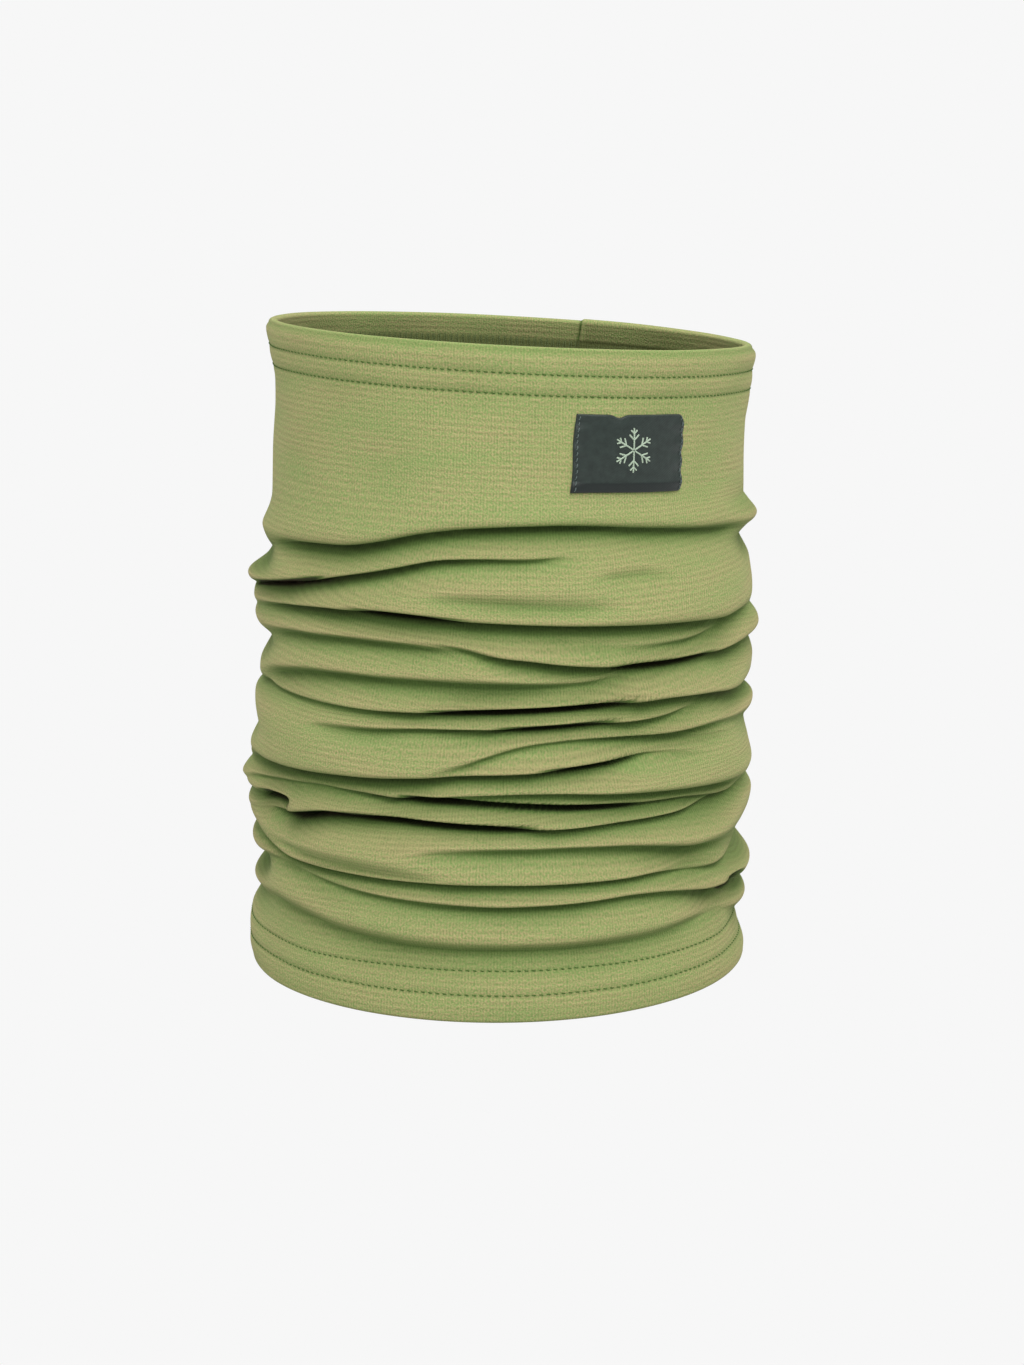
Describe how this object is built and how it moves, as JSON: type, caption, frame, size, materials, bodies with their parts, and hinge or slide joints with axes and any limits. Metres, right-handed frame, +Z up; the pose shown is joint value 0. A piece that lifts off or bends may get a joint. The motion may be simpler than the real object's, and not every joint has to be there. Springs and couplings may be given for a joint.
{
  "type": "neck gaiter",
  "caption": "Tubular jersey neck gaiter, hemmed at both ends, with a smooth upper band, a small woven label and a gathered lower part that pulls up to full length.",
  "frame": {"origin": "middle of the gaiter's width and depth, on the face of the lower hem that it stands on", "axes": "+Z up the tube, -Y towards the front with the label at the front right, +X to the right seen from the front"},
  "size_m": [0.1752, 0.1682, 0.2191],
  "materials": {
    "jersey": "matt heathered knit",
    "sewing_thread": "fine spun thread",
    "overlock_thread": "soft bulked thread",
    "label_tape": "dense woven satin tape",
    "label_thread": "fine thread",
    "motif_thread": "glossy woven-in thread"
  },
  "bodies": {
    "lower": {"lower_band": "jersey", "lower_hem_facing": "jersey", "lower_hem_needle_thread_edge": "sewing_thread", "lower_hem_needle_thread_inner": "sewing_thread", "lower_hem_cover_thread": "sewing_thread", "back_seam_overlock": "overlock_thread"},
    "roll_01": {"gather_roll_01": "jersey"},
    "roll_02": {"gather_roll_02": "jersey"},
    "roll_03": {"gather_roll_03": "jersey"},
    "roll_04": {"gather_roll_04": "jersey"},
    "roll_05": {"gather_roll_05": "jersey"},
    "roll_06": {"gather_roll_06": "jersey"},
    "roll_07": {"gather_roll_07": "jersey"},
    "roll_08": {"gather_roll_08": "jersey"},
    "roll_09": {"gather_roll_09": "jersey"},
    "roll_10": {"gather_roll_10": "jersey"},
    "upper": {"upper_band": "jersey", "upper_hem_facing": "jersey", "upper_hem_needle_thread_edge": "sewing_thread", "upper_hem_needle_thread_inner": "sewing_thread", "upper_hem_cover_thread": "sewing_thread", "label": "label_tape", "label_stitching_left": "label_thread", "label_stitching_right": "label_thread", "label_motif": "motif_thread"}
  },
  "joints": [
    {"name": "pull_up", "type": "slide", "parent": "lower", "child": "upper", "axis": [0, 0, 1], "range_m": [0, 0.12], "deforming": ["back_seam_overlock"]},
    {"name": "roll_lift_01", "type": "slide", "parent": "lower", "child": "roll_01", "axis": [0, 0, 1], "range_m": [0, 0.001]},
    {"name": "roll_lift_02", "type": "slide", "parent": "lower", "child": "roll_02", "axis": [0, 0, 1], "range_m": [0, 0.0074]},
    {"name": "roll_lift_03", "type": "slide", "parent": "lower", "child": "roll_03", "axis": [0, 0, 1], "range_m": [0, 0.0188]},
    {"name": "roll_lift_04", "type": "slide", "parent": "lower", "child": "roll_04", "axis": [0, 0, 1], "range_m": [0, 0.0339]},
    {"name": "roll_lift_05", "type": "slide", "parent": "lower", "child": "roll_05", "axis": [0, 0, 1], "range_m": [0, 0.0511]},
    {"name": "roll_lift_06", "type": "slide", "parent": "lower", "child": "roll_06", "axis": [0, 0, 1], "range_m": [0, 0.0691]},
    {"name": "roll_lift_07", "type": "slide", "parent": "lower", "child": "roll_07", "axis": [0, 0, 1], "range_m": [0, 0.0863]},
    {"name": "roll_lift_08", "type": "slide", "parent": "lower", "child": "roll_08", "axis": [0, 0, 1], "range_m": [0, 0.1014]},
    {"name": "roll_lift_09", "type": "slide", "parent": "lower", "child": "roll_09", "axis": [0, 0, 1], "range_m": [0, 0.1128]},
    {"name": "roll_lift_10", "type": "slide", "parent": "lower", "child": "roll_10", "axis": [0, 0, 1], "range_m": [0, 0.1192]}
  ],
  "couplings": [
    {"joint": "roll_lift_01", "follows": "pull_up", "ratio": 0.0073},
    {"joint": "roll_lift_02", "follows": "pull_up", "ratio": 0.0607},
    {"joint": "roll_lift_03", "follows": "pull_up", "ratio": 0.1562},
    {"joint": "roll_lift_04", "follows": "pull_up", "ratio": 0.2817},
    {"joint": "roll_lift_05", "follows": "pull_up", "ratio": 0.4253},
    {"joint": "roll_lift_06", "follows": "pull_up", "ratio": 0.5748},
    {"joint": "roll_lift_07", "follows": "pull_up", "ratio": 0.7183},
    {"joint": "roll_lift_08", "follows": "pull_up", "ratio": 0.8438},
    {"joint": "roll_lift_09", "follows": "pull_up", "ratio": 0.9392},
    {"joint": "roll_lift_10", "follows": "pull_up", "ratio": 0.9928}
  ]
}
